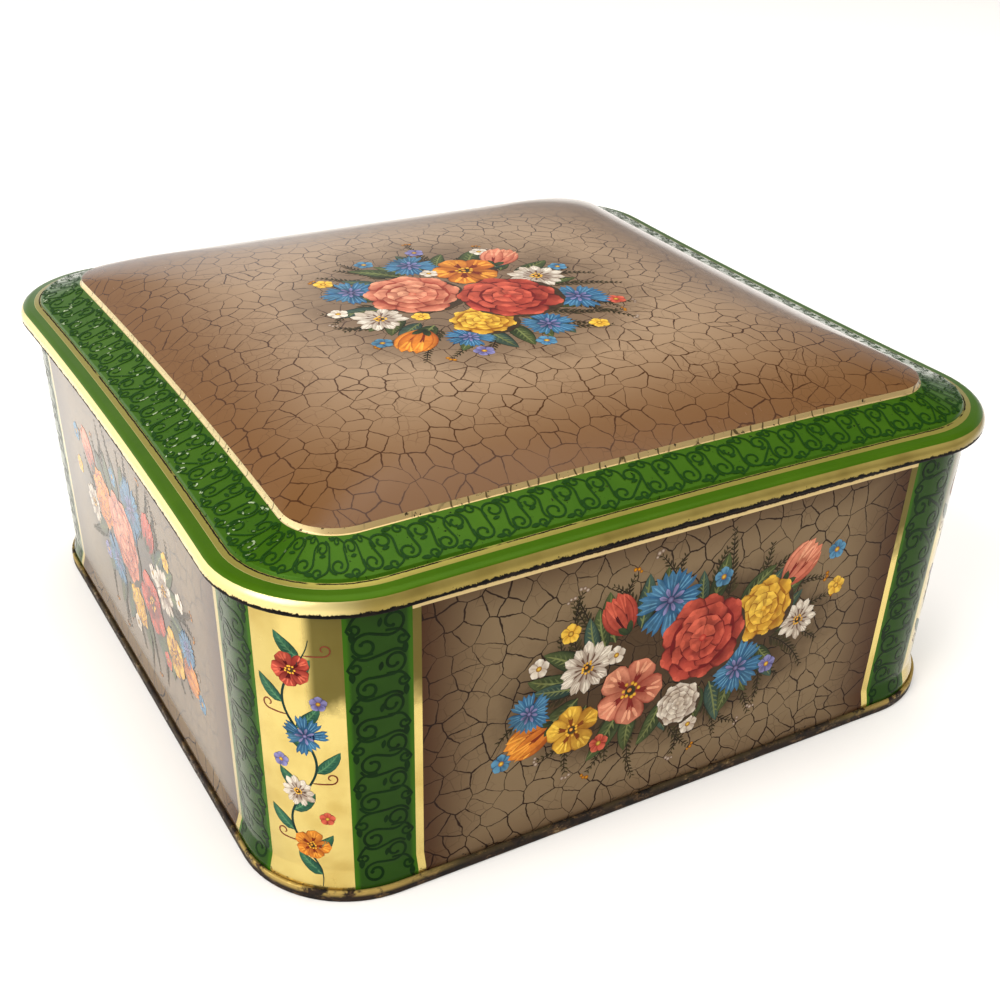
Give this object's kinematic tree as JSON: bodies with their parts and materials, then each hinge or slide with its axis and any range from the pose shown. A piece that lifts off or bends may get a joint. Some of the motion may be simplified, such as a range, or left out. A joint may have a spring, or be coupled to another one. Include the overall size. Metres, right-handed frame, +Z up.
{
  "type": "tin box",
  "caption": "Square tin box with rounded corners and a shallow domed lid that hinges open at the back, for papers and keepsakes.",
  "frame": {"origin": "middle of the foot, on the surface that the box stands on", "axes": "+Z up through the lid, the front faces -Y, the hinge is at the back (+Y), +X to the right seen from the front"},
  "size_m": [0.2078, 0.2079, 0.0989],
  "materials": {
    "printed_wall": "printed and varnished tinplate",
    "printed_lid": "printed and varnished tinplate",
    "bare_bottom": "lacquered tinplate, worn at the seam",
    "hinge_wire": "tinned steel wire",
    "hinge_lug": "tinned steel strip"
  },
  "bodies": {
    "box": {"body_wall": "printed_wall", "bottom_plate": "bare_bottom", "hinge_lug_left": "hinge_lug", "hinge_lug_right": "hinge_lug"},
    "lid": {"lid_shell": "printed_lid", "hinge_wire": "hinge_wire"}
  },
  "joints": [
    {"name": "lid_hinge", "type": "hinge", "parent": "box", "child": "lid", "pos_m": [0, 0.1028, 0.0804], "axis": [-1, 0, 0], "range_deg": [0, 105]}
  ]
}
